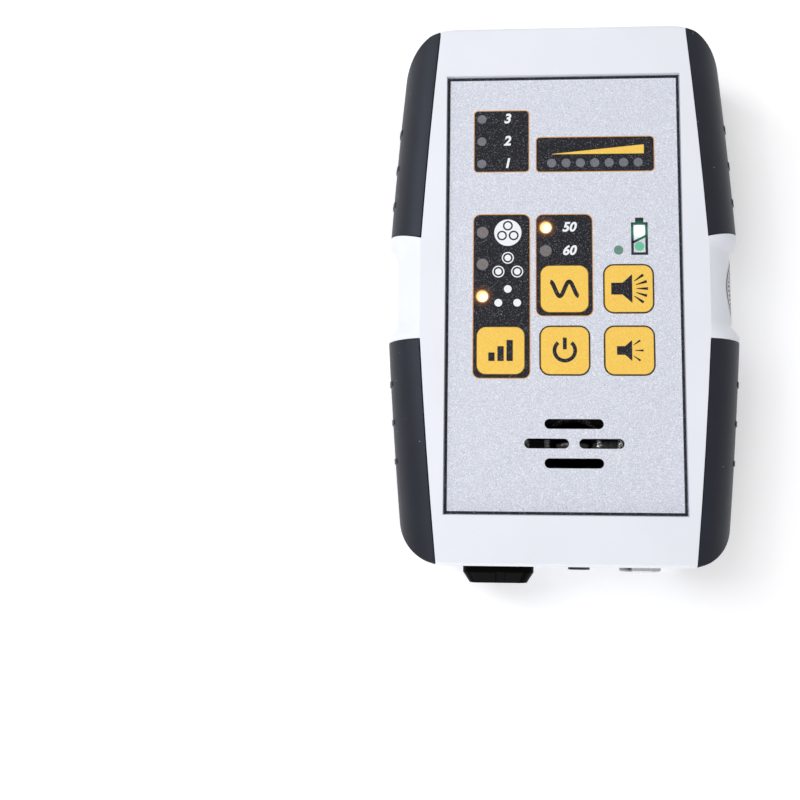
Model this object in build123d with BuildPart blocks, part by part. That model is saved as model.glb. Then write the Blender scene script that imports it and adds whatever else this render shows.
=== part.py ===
from build123d import *
import math
import os

# Hand-held receiver of a cable identifier, lying on its back. X points to its right, Y to its upper
# end and Z out of its face, and the origin is the middle of its rear face. All sizes in millimetres.

# Outer form of the case: sides that taper to both ends in a shallow bow, round corners in plan, and
# shoulders that bow in from the widest line to the face and the rear. It is widest over the inner ends
# of the grips.
case_length = 140.0
case_width = 90.7
side_radius = 1500.0
side_rise = 80.0
upper_corner_radius = 14.0
lower_corner_radius = 12.6
shoulder_width = 8.95
shoulder_depth = 10.4
edge_round = 1.0

# Walls of the two shells
side_wall = 3.0
end_wall = 4.6
rear_wall = 2.5
face_wall = 1.9
parting_gap = 0.16

# Drawn-in waist between the grips, and the round seal stuck over the joint there
waist_y = 0.6
waist_floor_length = 19.0
waist_rim_length = 24.9
waist_depth = 2.2
waist_blend = 0.15
seal_y = 0.6
seal_rise = 2.3
seal_diameter = 18.6
seal_thickness = 0.12

# Soft grips on the four corners
grip_thickness = 2.3
grip_seam = 0.25
grip_start = 13.1
upper_grip_flare = 2.1
lower_grip_flare = 0.1
ridge_first = 24.0
ridge_pitch = 10.0
ridge_count = 3
ridge_width = 1.3
ridge_height = 0.25
ridge_length = 8.0

# Keypad overlay, sunk a little below the face, and its distances from the ends of the case
overlay_width = 60.0
overlay_upper_margin = 13.53
overlay_lower_margin = 12.67
overlay_thickness = 0.5
overlay_step = 1.1
overlay_clearance = 0.2

# Keys: three columns and two rows, with the upper left place empty. The upper row is placed by its
# height above the speaker.
key_size = 12.0
key_corner = 2.3
key_pitch_x = 16.2
key_pitch_y = 15.9
key_column_x = 0.2
key_row_rise = 39.4
key_rise = 0.15
key_clearance = 0.15
key_lip = 0.35
key_lip_thickness = 0.4
key_travel = 0.4
key_rest_gap = 0.1
stem_radius = 2.2
stem_clearance = 0.4
stem_reach = 1.4

# Push switches under the keys
switch_size = 6.0
switch_height = 3.5
plunger_radius = 1.7
plunger_rise = 1.0
plunger_engagement = 1.1
plunger_clearance = 0.2

# Indicator windows and the lamps under them. The gain and level lamps hang from the upper edge of the
# overlay, and the others are placed by their height above the upper row of keys.
small_window = 2.4
large_window = 3.05
window_clearance = 0.02
gain_x = -21.0
gain_top_drop = 11.3
gain_pitch = 6.06
level_first_x = -2.9
level_drop = 23.4
level_pitch = 3.7
level_count = 7
mode_x = -20.7
mode_top_rise = 14.95
mode_pitch = 8.4
frequency_x = -4.5
frequency_top_rise = 16.15
frequency_pitch = 6.16
battery_lamp_x = 19.3
battery_lamp_top_rise = 15.05
battery_lamp_pitch = 4.02
charge_lamp_x = 14.0
charge_lamp_rise = 10.1
led_radius = 1.0
led_leg = 2.0
led_leg_size = 0.5
led_leg_pitch = 1.3
led_gap = 0.4
led_clearance = 0.2

# Speaker and the slots in front of it, placed by its height above the overlay's lower edge
speaker_x = 2.4
speaker_rise = 17.65
speaker_diameter = 28.0
speaker_rim_width = 1.7
speaker_rim_height = 1.5
basket_depth = 3.0
basket_skin = 0.8
magnet_radius = 7.0
magnet_height = 3.0
gasket_thickness = 0.5
cone_skin = 0.4
cone_neck_radius = 4.5
cone_depth = 2.6
speaker_ring_wall = 1.3
speaker_ring_depth = 3.0
speaker_clearance = 0.2
tag_width = 8.0
tag_reach = 5.0
slot_width = 2.5
slot_pitch = 4.92
long_slot = 14.75
short_slot = 11.2
slot_bridge = 2.5

# Battery bay, two AA cells, and the sliding door behind them
cell_diameter = 14.5
cell_length = 50.5
cell_nub_radius = 2.75
cell_nub = 1.0
cell_gap = 0.3
bay_wall = 1.5
bay_roof = 1.2
bay_end_gap = 2.0
contact_thickness = 0.5
contact_dimple = 1.0
contact_dimple_radius = 2.5
contact_width = 10.0
contact_tab = 3.0
contact_tab_clearance = 0.2
door_recess = 0.3
door_thickness = 2.0
door_lip = 1.5
door_clearance = 0.2
door_slide_gap = 0.15
door_end_inset = 0.6
door_overlap = 2.5
door_rail = 2.5
thumb_rib_count = 6
thumb_rib_pitch = 1.8
thumb_rib_width = 0.8
thumb_rib_depth = 0.4
thumb_rib_length = 16.0
thumb_rib_inset = 5.0

# Main board and what it carries
board_thickness = 1.6
board_gap = 0.4
board_margin = 6.0
board_edge_gap = 2.0
board_screw_x = 28.5
board_screw_inset = 4.0
board_screw_edge = 3.5
chip_size = 7.0
chip_height = 1.4
chip_lead = 1.0
chip_lead_width = 0.3
chip_lead_pitch = 0.8
chip_leads = 8
chip_x = 8.0
chip_rise = 10.0
amplifier_width = 3.9
amplifier_length = 5.0
amplifier_leads = 4
amplifier_lead_pitch = 1.27
capacitor_radius = 2.5
capacitor_height = 4.6
capacitor_pitch = 6.5
capacitor_x = -12.4
capacitor_rise = 24.75

# Screws
case_screw_x = 29.0
case_screw_inset = 12.0
case_screw_seat = 6.0
case_screw_length = 16.0
case_screw_radius = 1.45
case_screw_head_radius = 2.75
case_screw_head = 2.0
front_post_radius = 3.75
rear_post_radius = 4.2
board_screw_radius = 1.2
board_screw_length = 6.0
board_screw_head_radius = 2.2
board_screw_head = 1.6
board_post_radius = 3.0
screw_clearance = 0.05
screw_hole_clearance = 0.2
screw_recess_width = 0.7
screw_recess_depth = 0.9

# End panels, held in slots between the shells
end_lip = 1.2
panel_thickness = 2.0
panel_lap = 1.2
panel_clearance = 0.1
window_margin = 0.6

# Sensor socket on the lower end
socket_x = -16.5
socket_stand_out = 4.4
bezel_width = 17.9
bezel_corner = 3.0
bezel_mouth_width = 14.5
bezel_mouth_corner = 2.4
bezel_band = 1.7
bezel_edge = 0.45
bezel_key_x = 0.5
bezel_key_width = 2.2
bezel_key_depth = 0.35
socket_bore_radius = 5.8
barrel_radius = 7.0
barrel_length = 8.7
socket_depth = 6.5
socket_fit = 0.05
socket_nut_radius = 8.7
socket_nut_thickness = 2.5
pin_count = 5
pin_radius = 0.6
pin_circle = 3.2
pin_rise = 2.0
pin_tail = 3.0
pin_fit = 0.03

# Headphone jack and charging socket on the lower end
jack_x = 19.8
jack_stand_out = 1.25
jack_nut_radius = 5.3
jack_nut_rise = 0.15
jack_nut_chamfer = 0.3
jack_thread_radius = 3.0
jack_bore_radius = 1.8
jack_bore_length = 14.0
jack_body_width = 9.0
jack_body_height = 10.0
jack_body_length = 14.0
panel_hole_clearance = 0.15
charge_x = 4.2
charge_stand_out = 1.05
charge_bush_radius = 2.8
charge_bore_radius = 1.75
charge_bore_length = 9.5
charge_pin_radius = 0.65
charge_pin_inset = 0.8
charge_body_size = 8.0
charge_body_length = 11.0

# Leads inside the case
speaker_lead_radius = 0.35
speaker_lead_pitch = 4.0
speaker_lead_bend = 1.0
lead_radius = 1.1
lead_bend = 4.0
lead_landing = 5.0

# Overlaps that keep cuts and joins clear of grazing faces
overrun = 1.0
fuse = 0.4
shoulder_overrun = 0.02

# Heights, built up from the rear face through door, cells, board, switch and key to the face
door_high = door_recess + door_thickness
door_lip_low = door_recess + door_thickness / 2
channel_high = door_high + door_slide_gap
cell_axis = door_high + cell_gap + cell_diameter / 2
bay_ceiling = door_high + cell_diameter + 2 * cell_gap
bay_top = bay_ceiling + bay_roof
board_low = bay_top + board_gap
board_high = board_low + board_thickness
switch_top = board_high + switch_height
plunger_top = switch_top + plunger_rise
cavity_high = plunger_top + stem_reach
overlay_floor = cavity_high + face_wall
overlay_top = overlay_floor + overlay_thickness
case_thickness = overlay_top + overlay_step
parting = case_thickness / 2
widest_level = case_thickness - shoulder_depth
key_lip_high = overlay_floor - key_rest_gap
key_lip_low = key_lip_high - key_lip_thickness
key_pocket_floor = key_lip_low - key_travel - key_clearance

# Plan of the case: each half's sides are arcs about centres that lie towards the other end
half_length = case_length / 2
half_width = case_width / 2
widest_y = grip_start + (upper_grip_flare + lower_grip_flare) / 2
side_centre = math.sqrt(side_radius**2 - (widest_y + side_rise) ** 2) - half_width
face_edge_radius = side_radius - shoulder_width
sweep_start = math.asin((side_rise - overrun) / (side_radius + overrun))
sweep_end = math.asin((half_length + side_rise + overrun) / face_edge_radius)

# Places of overlay, speaker, keys, windows, screws and ends
overlay_upper_y = half_length - overlay_upper_margin
overlay_lower_y = -half_length + overlay_lower_margin
overlay_length = overlay_upper_y - overlay_lower_y
overlay_y = (overlay_upper_y + overlay_lower_y) / 2
speaker_y = overlay_lower_y + speaker_rise
key_rows = [speaker_y + key_row_rise, speaker_y + key_row_rise - key_pitch_y]
key_places = {
    "frequency": (key_column_x, key_rows[0]),
    "volume_up": (key_column_x + key_pitch_x, key_rows[0]),
    "gain_mode": (key_column_x - key_pitch_x, key_rows[1]),
    "power": (key_column_x, key_rows[1]),
    "volume_down": (key_column_x + key_pitch_x, key_rows[1]),
}
key_points = list(key_places.values())
gain_top_y = overlay_upper_y - gain_top_drop
level_y = overlay_upper_y - level_drop
mode_top_y = key_rows[0] + mode_top_rise
frequency_top_y = key_rows[0] + frequency_top_rise
battery_lamp_top_y = key_rows[0] + battery_lamp_top_rise
charge_lamp_y = key_rows[0] + charge_lamp_rise
window_places = {
    "gain": [(gain_x, gain_top_y - i * gain_pitch) for i in range(3)],
    "level": [(level_first_x + i * level_pitch, level_y) for i in range(level_count)],
    "mode": [(mode_x, mode_top_y - i * mode_pitch) for i in range(3)],
    "frequency": [(frequency_x, frequency_top_y - i * frequency_pitch) for i in range(2)],
    "battery": [
        (battery_lamp_x, battery_lamp_top_y),
        (battery_lamp_x, battery_lamp_top_y - battery_lamp_pitch),
        (charge_lamp_x, charge_lamp_y),
    ],
}
window_sizes = {
    "gain": small_window,
    "level": small_window,
    "mode": large_window,
    "frequency": large_window,
    "battery": small_window,
}
case_screw_y = half_length - case_screw_inset
case_screw_points = [(x, y) for x in (-case_screw_x, case_screw_x) for y in (-case_screw_y, case_screw_y)]
speaker_radius = speaker_diameter / 2
speaker_ring_radius = speaker_radius + speaker_clearance + speaker_ring_wall
board_upper_y = gain_top_y + board_margin
board_lower_y = speaker_y + speaker_ring_radius + board_edge_gap
board_half_width = board_screw_x + board_screw_edge
board_screw_points = [
    (x, y)
    for x in (-board_screw_x, board_screw_x)
    for y in (board_upper_y - board_screw_inset, board_lower_y + board_screw_inset)
]
end_inner_y = half_length - end_wall
panel_outer_y = half_length - end_lip - panel_clearance
panel_inner_y = panel_outer_y - panel_thickness
end_window_half_height = bezel_width / 2 + window_margin
end_window_half_width = abs(socket_x) + end_window_half_height
bay_half_width = cell_diameter + 1.5 * cell_gap
bay_far_y = end_inner_y - bay_end_gap - bay_wall
bay_near_y = bay_far_y - cell_length - 2 * (contact_thickness + contact_dimple)
cell_x = (cell_diameter + cell_gap) / 2
door_half_width = bay_half_width + bay_wall
door_lip_half_width = door_half_width + door_lip
door_inner_y = bay_near_y - bay_wall - door_overlap
door_outer_y = half_length - door_end_inset


def side_x(radius, y):
    """X of a bowed side of the given sweep radius, at a distance from the middle of the case."""
    return math.sqrt(radius**2 - (y + side_rise) ** 2) - side_centre


def shoulder_line(wide, edge, level):
    """A shoulder in section, drawn into the open line: an arc, upright at the widest line, to an edge."""
    TangentArc((wide, widest_level), (edge, level), tangent=(0, level - widest_level))


def half_envelope(corner, side, end, rear, front, edge):
    """The upper half of the case's outer form with this corner, its end edges rounded."""
    radius = side_radius - side
    end_y = half_length - end
    low = rear
    high = case_thickness - front
    middle_x = side_x(radius, 0)
    corner_x = side_x(radius, end_y)
    with BuildPart() as form:
        with BuildSketch(Plane.XY.offset(low)) as plan:
            with BuildLine():
                Line((-middle_x, 0), (middle_x, 0))
                for hand in (1, -1):
                    ThreePointArc(
                        (hand * middle_x, 0),
                        (hand * side_x(radius, end_y / 2), end_y / 2),
                        (hand * corner_x, end_y),
                    )
                Line((-corner_x, end_y), (corner_x, end_y))
            make_face()
            fillet(plan.vertices().group_by(Axis.Y)[-1], corner - side)
        extrude(amount=high - low)
        if edge > 0:
            rims = form.faces().filter_by(Axis.Z).edges()
            fillet(rims.filter_by(lambda rim: rim.center().Y > overrun), edge)
        wide = radius + shoulder_overrun
        outside = side_radius + overrun
        for hand in (1, -1):
            centre = (-hand * side_centre, -side_rise, 0)
            cut_plane = Plane(
                origin=centre,
                x_dir=(hand * math.cos(sweep_start), math.sin(sweep_start), 0),
                z_dir=(math.sin(sweep_start), -hand * math.cos(sweep_start), 0),
            )
            for level, beyond in ((high, high + overrun), (low, low - overrun)):
                with BuildSketch(cut_plane):
                    with BuildLine():
                        shoulder_line(wide, face_edge_radius, level)
                        Polyline(
                            (face_edge_radius, level),
                            (face_edge_radius, beyond),
                            (outside, beyond),
                            (outside, widest_level),
                            (wide, widest_level),
                        )
                    make_face()
            revolve(
                axis=Axis(centre, (0, 0, hand)),
                revolution_arc=math.degrees(sweep_end - sweep_start),
                mode=Mode.SUBTRACT,
            )
    return form.part


def envelope(side=0.0, end=0.0, rear=0.0, front=0.0, edge=0.0):
    """The whole outer form, drawn in by these amounts at its sides, ends, rear and front."""
    with BuildPart() as form:
        add(half_envelope(upper_corner_radius, side, end, rear, front, edge))
        mirror(half_envelope(lower_corner_radius, side, end, rear, front, edge), about=Plane.XZ)
    return form.part


def waist_form(depth):
    """The case's cross-section at the waist, run along Y and widening to full width at the rims."""
    rim_y = waist_rim_length / 2
    floor_y = waist_floor_length / 2
    face_edge_x = side_x(face_edge_radius, rim_y) + waist_blend
    rim_x = side_x(side_radius, rim_y) + waist_blend
    with BuildPart() as form:
        for y, inset in ((-rim_y, 0), (-floor_y, depth), (floor_y, depth), (rim_y, 0)):
            wide = rim_x - inset
            with BuildSketch(Plane.XZ.offset(-waist_y - y)):
                with BuildLine():
                    for level in (0, case_thickness):
                        Line((-face_edge_x, level), (face_edge_x, level))
                        shoulder_line(wide, face_edge_x, level)
                        shoulder_line(-wide, -face_edge_x, level)
                make_face()
        loft(ruled=True)
    return form.part


def grip_zone(seam, way):
    """A right corner beyond the face's edge, where a grip lies, drawn in by a seam.

    The way is 1 for the upper corner and -1 for the lower one.
    """
    edge_radius = face_edge_radius + seam
    start_y = grip_start + seam
    start_x = side_x(edge_radius, start_y)
    far_y = half_length + overrun
    middle_y = (start_y + far_y) / 2
    outside_x = half_width + overrun
    end_flare = upper_grip_flare if way > 0 else lower_grip_flare
    flare = end_flare * (outside_x - start_x) / shoulder_width
    with BuildPart() as zone:
        with BuildSketch(Plane.XY.offset(-overrun)):
            with BuildLine():
                ThreePointArc(
                    (start_x, way * start_y),
                    (side_x(edge_radius, middle_y), way * middle_y),
                    (side_x(edge_radius, far_y), way * far_y),
                )
                Polyline(
                    (side_x(edge_radius, far_y), way * far_y),
                    (outside_x, way * far_y),
                    (outside_x, way * (start_y + flare)),
                    (start_x, way * start_y),
                )
            make_face()
        extrude(amount=case_thickness + 2 * overrun)
    return zone.part


def draw_speaker_slots():
    """The four slots in front of the speaker, drawn into the open sketch."""
    with Locations((speaker_x, speaker_y + slot_pitch), (speaker_x, speaker_y - slot_pitch)):
        SlotOverall(long_slot, slot_width)
    beside = (short_slot + slot_bridge) / 2
    with Locations((speaker_x - beside, speaker_y), (speaker_x + beside, speaker_y)):
        SlotOverall(short_slot, slot_width)


def save(builder, name):
    """Labels a finished piece and writes it under its name."""
    builder.part.label = name
    export_step(builder.part, f"parts/{name}.step")


os.makedirs("parts", exist_ok=True)
case_form = envelope(edge=edge_round)
grip_core = envelope(grip_thickness, grip_thickness, grip_thickness, grip_thickness)
side_inset = grip_thickness + side_wall
cavity = envelope(side_inset, end_wall, rear_wall, case_thickness - cavity_high)

# Hollow case before it is parted: waist drawn in, seats for the grips, slots for the end panels
with BuildPart() as waist_cut:
    with Locations((0, waist_y, parting)):
        Box(2 * side_x(side_radius, 0) + overrun, waist_rim_length, case_thickness + 2 * overrun)
    add(waist_form(waist_depth), mode=Mode.SUBTRACT)

with BuildPart() as grip_seats:
    for way in (1, -1):
        add(grip_zone(0, way))
    add(grip_core, mode=Mode.SUBTRACT)
    mirror(about=Plane.YZ)

with BuildPart() as end_openings:
    with BuildSketch(Plane.XZ.offset(-end_inner_y + fuse)):
        with Locations((0, parting)):
            Rectangle(2 * end_window_half_width, 2 * end_window_half_height)
    extrude(amount=-end_wall - fuse - overrun)
    with BuildSketch(Plane.XZ.offset(-panel_inner_y + panel_clearance)):
        with Locations((0, parting)):
            Rectangle(
                2 * (end_window_half_width + panel_lap + panel_clearance),
                2 * (end_window_half_height + panel_lap + panel_clearance),
            )
    extrude(amount=-panel_thickness - 2 * panel_clearance)
    mirror(about=Plane.XZ)

with BuildPart() as case_walls:
    add(case_form)
    add(waist_cut.part, mode=Mode.SUBTRACT)
    add(grip_seats.part, mode=Mode.SUBTRACT)
    add(cavity, mode=Mode.SUBTRACT)
    add(end_openings.part, mode=Mode.SUBTRACT)

# Front shell: overlay recess, key pockets, lamp holes, speaker slots and its posts inside
with BuildPart() as front_shell:
    add(case_walls.part)
    split(bisect_by=Plane.XY.offset(parting + parting_gap / 2), keep=Keep.TOP)
    with BuildSketch(Plane.XY.offset(parting)):
        with Locations(*case_screw_points):
            Circle(front_post_radius)
    extrude(amount=cavity_high + fuse - parting)
    with BuildSketch(Plane.XY.offset(board_high)):
        with Locations(*board_screw_points):
            Circle(board_post_radius)
    extrude(amount=cavity_high + fuse - board_high)
    with BuildSketch(Plane.XY.offset(cavity_high - speaker_ring_depth)):
        with Locations((speaker_x, speaker_y)):
            Circle(speaker_ring_radius)
            Circle(speaker_ring_radius - speaker_ring_wall, mode=Mode.SUBTRACT)
    extrude(amount=speaker_ring_depth + fuse)
    with BuildSketch(Plane.XY.offset(overlay_floor)):
        with Locations((0, overlay_y)):
            Rectangle(overlay_width + 2 * overlay_clearance, overlay_length + 2 * overlay_clearance)
    extrude(amount=overlay_thickness + overlay_step + overrun, mode=Mode.SUBTRACT)
    with BuildSketch(Plane.XY.offset(key_pocket_floor)):
        with Locations(*key_points):
            pocket_size = key_size + 2 * (key_lip + key_clearance)
            RectangleRounded(pocket_size, pocket_size, key_corner)
    extrude(amount=overlay_floor - key_pocket_floor + fuse, mode=Mode.SUBTRACT)
    with BuildSketch(Plane.XY.offset(cavity_high - overrun)):
        with Locations(*key_points):
            Circle(stem_radius + stem_clearance)
        for name, points in window_places.items():
            if name == "level":
                row_length = (level_count - 1) * level_pitch
                with Locations((level_first_x + row_length / 2, level_y)):
                    hole = 2 * (led_radius + led_clearance)
                    SlotOverall(row_length + hole, hole)
            else:
                with Locations(*points):
                    Circle(led_radius + led_clearance)
        draw_speaker_slots()
    extrude(amount=face_wall + 2 * overrun, mode=Mode.SUBTRACT)
    with BuildSketch(Plane.XY.offset(parting - overrun)):
        with Locations(*case_screw_points):
            Circle(case_screw_radius + screw_clearance)
    extrude(amount=case_screw_seat + case_screw_length + fuse - parting + overrun, mode=Mode.SUBTRACT)
    with BuildSketch(Plane.XY.offset(board_high - overrun)):
        with Locations(*board_screw_points):
            Circle(board_screw_radius + screw_clearance)
    extrude(amount=board_screw_length - board_thickness + fuse + overrun, mode=Mode.SUBTRACT)
save(front_shell, "front_shell")

# Rear shell: screw posts, battery bay with its door channel, slots for the battery contact tabs
with BuildPart() as rear_shell:
    add(case_walls.part)
    split(bisect_by=Plane.XY.offset(parting - parting_gap / 2), keep=Keep.BOTTOM)
    with BuildSketch(Plane.XY.offset(rear_wall - fuse)):
        with Locations(*case_screw_points):
            Circle(rear_post_radius)
    extrude(amount=parting - rear_wall + fuse)
    bay_middle_y = (bay_near_y + bay_far_y) / 2
    bay_length = bay_far_y - bay_near_y
    with BuildSketch(Plane.XY.offset(rear_wall - fuse)):
        with Locations((0, bay_middle_y)):
            Rectangle(2 * (bay_half_width + bay_wall), bay_length + 2 * bay_wall)
    extrude(amount=bay_top - rear_wall + fuse)
    rail_half_width = door_lip_half_width + door_clearance + door_rail
    rail_near_y = door_inner_y - door_clearance - door_rail
    rail_far_y = end_inner_y + fuse
    with BuildSketch(Plane.XY.offset(rear_wall - fuse)):
        with Locations((0, (rail_near_y + rail_far_y) / 2)):
            Rectangle(2 * rail_half_width, rail_far_y - rail_near_y)
    extrude(amount=channel_high + door_rail - rear_wall + fuse)
    with BuildSketch(Plane.XY.offset(door_lip_low - door_slide_gap)):
        with Locations((0, bay_middle_y)):
            Rectangle(2 * bay_half_width, bay_length)
    extrude(amount=bay_ceiling - door_lip_low + door_slide_gap, mode=Mode.SUBTRACT)
    channel_near_y = door_inner_y - door_clearance
    channel_far_y = half_length + overrun
    channel_layers = (
        (-overrun, door_lip_low, door_half_width),
        (door_lip_low - door_slide_gap, channel_high, door_lip_half_width),
    )
    for low, high, half in channel_layers:
        with BuildSketch(Plane.XY.offset(low)):
            with Locations((0, (channel_near_y + channel_far_y) / 2)):
                Rectangle(2 * (half + door_clearance), channel_far_y - channel_near_y)
        extrude(amount=high - low, mode=Mode.SUBTRACT)
    with BuildSketch(Plane.XY.offset(bay_ceiling - fuse)):
        with Locations((-cell_x, bay_near_y), (cell_x, bay_near_y)):
            Rectangle(
                contact_tab + 2 * contact_tab_clearance,
                2 * (contact_thickness + contact_tab_clearance),
            )
    extrude(amount=bay_roof + 2 * fuse, mode=Mode.SUBTRACT)
    with BuildSketch(Plane.XY.offset(-overrun)):
        with Locations(*case_screw_points):
            Circle(case_screw_head_radius + screw_hole_clearance)
    extrude(amount=case_screw_seat + overrun, mode=Mode.SUBTRACT)
    with BuildSketch(Plane.XY.offset(case_screw_seat - fuse)):
        with Locations(*case_screw_points):
            Circle(case_screw_radius + screw_hole_clearance)
    extrude(amount=parting - case_screw_seat + 2 * fuse, mode=Mode.SUBTRACT)
save(rear_shell, "rear_shell")

# Corner grips, each with three low ridges on its side: the left ones mirror the right ones
ridge_form = envelope(-ridge_height)
for end_name, way in (("upper", 1), ("lower", -1)):
    with BuildPart() as ridges:
        for i in range(ridge_count):
            ridge_y = ridge_first + i * ridge_pitch
            with Locations((side_x(side_radius, ridge_y), way * ridge_y, widest_level)):
                Box(grip_thickness, ridge_width, ridge_length)
        add(ridge_form, mode=Mode.INTERSECT)

    with BuildPart() as right_grip:
        add(case_form)
        add(grip_zone(grip_seam, way), mode=Mode.INTERSECT)
        add(grip_core, mode=Mode.SUBTRACT)
        add(ridges.part)
    save(right_grip, f"grip_{end_name}_right")

    with BuildPart() as left_grip:
        mirror(right_grip.part, about=Plane.YZ)
    save(left_grip, f"grip_{end_name}_left")

# Round seal, bent over the waist's side across the joint of the shells
with BuildPart() as seal_label:
    with BuildSketch(Plane.YZ.offset(half_width - shoulder_width)):
        with Locations((seal_y, parting + seal_rise)):
            Circle(seal_diameter / 2)
    extrude(amount=shoulder_width)
    add(waist_form(waist_depth - seal_thickness), mode=Mode.INTERSECT)
    add(waist_form(waist_depth), mode=Mode.SUBTRACT)
save(seal_label, "seal_label")

# Keypad overlay with its openings for keys, windows and speaker
with BuildPart() as membrane_overlay:
    with BuildSketch(Plane.XY.offset(overlay_floor)):
        with Locations((0, overlay_y)):
            Rectangle(overlay_width, overlay_length)
        with Locations(*key_points):
            opening = key_size + 2 * key_clearance
            RectangleRounded(opening, opening, key_corner + key_clearance, mode=Mode.SUBTRACT)
        for name, points in window_places.items():
            with Locations(*points):
                Circle(window_sizes[name] / 2, mode=Mode.SUBTRACT)
    extrude(amount=overlay_thickness)
    with BuildSketch(Plane.XY.offset(overlay_floor - fuse)):
        draw_speaker_slots()
    extrude(amount=overlay_thickness + 2 * fuse, mode=Mode.SUBTRACT)
save(membrane_overlay, "membrane_overlay")

# Clear windows in the overlay, and the lamps that stand on the board under them
for name, points in window_places.items():
    with BuildPart() as windows:
        with BuildSketch(Plane.XY.offset(overlay_floor)):
            with Locations(*points):
                Circle(window_sizes[name] / 2 - window_clearance)
        extrude(amount=overlay_thickness)
    save(windows, f"{name}_windows")

    with BuildPart() as leds:
        with BuildSketch(Plane.XY.offset(board_high)):
            with Locations(*points):
                with GridLocations(led_leg_pitch, 1, 2, 1):
                    Rectangle(led_leg_size, led_leg_size)
        extrude(amount=led_leg)
        dome_centre = overlay_floor - led_gap - led_radius
        with BuildSketch(Plane.XY.offset(board_high + led_leg)):
            with Locations(*points):
                Circle(led_radius)
        extrude(amount=dome_centre - board_high - led_leg)
        with Locations(*[(x, y, dome_centre) for x, y in points]):
            Sphere(led_radius)
    save(leds, f"{name}_leds")

# Key caps with their lips and stems, and the switch plungers that they press
for name, (x, y) in key_places.items():
    with BuildPart() as key:
        with BuildSketch(Plane.XY.offset(key_lip_low)):
            with Locations((x, y)):
                RectangleRounded(key_size + 2 * key_lip, key_size + 2 * key_lip, key_corner)
        extrude(amount=key_lip_thickness)
        with BuildSketch(Plane.XY.offset(key_lip_low)):
            with Locations((x, y)):
                RectangleRounded(key_size, key_size, key_corner)
        extrude(amount=overlay_top + key_rise - key_lip_low)
        with BuildSketch(Plane.XY.offset(plunger_top)):
            with Locations((x, y)):
                Circle(stem_radius)
        extrude(amount=key_lip_low - plunger_top + key_lip_thickness / 2)
    save(key, f"key_{name}")

    with BuildPart() as plunger:
        with BuildSketch(Plane.XY.offset(switch_top - plunger_engagement)):
            with Locations((x, y)):
                Circle(plunger_radius)
        extrude(amount=plunger_rise + plunger_engagement)
    save(plunger, f"plunger_{name}")

# Bodies of the five push switches
with BuildPart() as key_switches:
    with BuildSketch(Plane.XY.offset(board_high)):
        with Locations(*key_points):
            Rectangle(switch_size, switch_size)
    extrude(amount=switch_height)
    well_depth = plunger_engagement + key_travel + plunger_clearance
    with BuildSketch(Plane.XY.offset(switch_top - well_depth)):
        with Locations(*key_points):
            Circle(plunger_radius + plunger_clearance)
    extrude(amount=well_depth + fuse, mode=Mode.SUBTRACT)
save(key_switches, "key_switches")

# Main board, hung on the front shell's posts by four screws
with BuildPart() as main_board:
    with BuildSketch(Plane.XY.offset(board_low)):
        with Locations((0, (board_upper_y + board_lower_y) / 2)):
            Rectangle(2 * board_half_width, board_upper_y - board_lower_y)
        with Locations(*board_screw_points):
            Circle(board_screw_radius + screw_hole_clearance, mode=Mode.SUBTRACT)
    extrude(amount=board_thickness)
save(main_board, "main_board")

with BuildPart() as board_screws:
    with BuildSketch(Plane.XY.offset(board_low - board_screw_head)):
        with Locations(*board_screw_points):
            Circle(board_screw_head_radius)
    extrude(amount=board_screw_head)
    with BuildSketch(Plane.XY.offset(board_low - fuse)):
        with Locations(*board_screw_points):
            Circle(board_screw_radius)
    extrude(amount=board_screw_length + fuse)
    with BuildSketch(Plane.XY.offset(board_low - board_screw_head)):
        with Locations(*board_screw_points):
            Rectangle(2 * board_screw_radius, screw_recess_width)
            Rectangle(screw_recess_width, 2 * board_screw_radius)
    extrude(amount=screw_recess_depth, mode=Mode.SUBTRACT)
save(board_screws, "board_screws")

# Controller and amplifier chips with their leads, and two capacitors
chip_y = key_rows[0] + chip_rise
with BuildPart() as controller_chip:
    with BuildSketch(Plane.XY.offset(board_high)):
        with Locations((chip_x, chip_y)):
            Rectangle(chip_size, chip_size)
    extrude(amount=chip_height)
    with BuildSketch(Plane.XY.offset(board_high)):
        with Locations((chip_x, chip_y)):
            with GridLocations(chip_lead_pitch, 1, chip_leads, 1):
                Rectangle(chip_lead_width, chip_size + 2 * chip_lead)
            with GridLocations(1, chip_lead_pitch, 1, chip_leads):
                Rectangle(chip_size + 2 * chip_lead, chip_lead_width)
    extrude(amount=chip_lead_width)
save(controller_chip, "controller_chip")

with BuildPart() as amplifier_chip:
    amplifier_place = (key_column_x + key_pitch_x / 2, key_rows[1])
    with BuildSketch(Plane.XY.offset(board_high)):
        with Locations(amplifier_place):
            Rectangle(amplifier_width, amplifier_length)
    extrude(amount=chip_height)
    with BuildSketch(Plane.XY.offset(board_high)):
        with Locations(amplifier_place):
            with GridLocations(1, amplifier_lead_pitch, 1, amplifier_leads):
                Rectangle(amplifier_width + 2 * chip_lead, chip_lead_width)
    extrude(amount=chip_lead_width)
save(amplifier_chip, "amplifier_chip")

with BuildPart() as board_capacitors:
    with BuildSketch(Plane.XY.offset(board_high)):
        with Locations((capacitor_x, key_rows[0] + capacitor_rise)):
            with GridLocations(capacitor_pitch, 1, 2, 1):
                Circle(capacitor_radius)
    extrude(amount=capacitor_height)
save(board_capacitors, "board_capacitors")

# Speaker: gasket against the face, frame with rim and basket, cone with dust cap, magnet
speaker_plane = Plane(origin=(speaker_x, speaker_y, 0), x_dir=(1, 0, 0), z_dir=(0, -1, 0))
speaker_axis = Axis((speaker_x, speaker_y, 0), (0, 0, 1))
rim_high = cavity_high - gasket_thickness
rim_low = rim_high - speaker_rim_height
basket_low = rim_low - basket_depth
rim_inner_radius = speaker_radius - speaker_rim_width
plate_radius = magnet_radius + speaker_rim_width / 2

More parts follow.
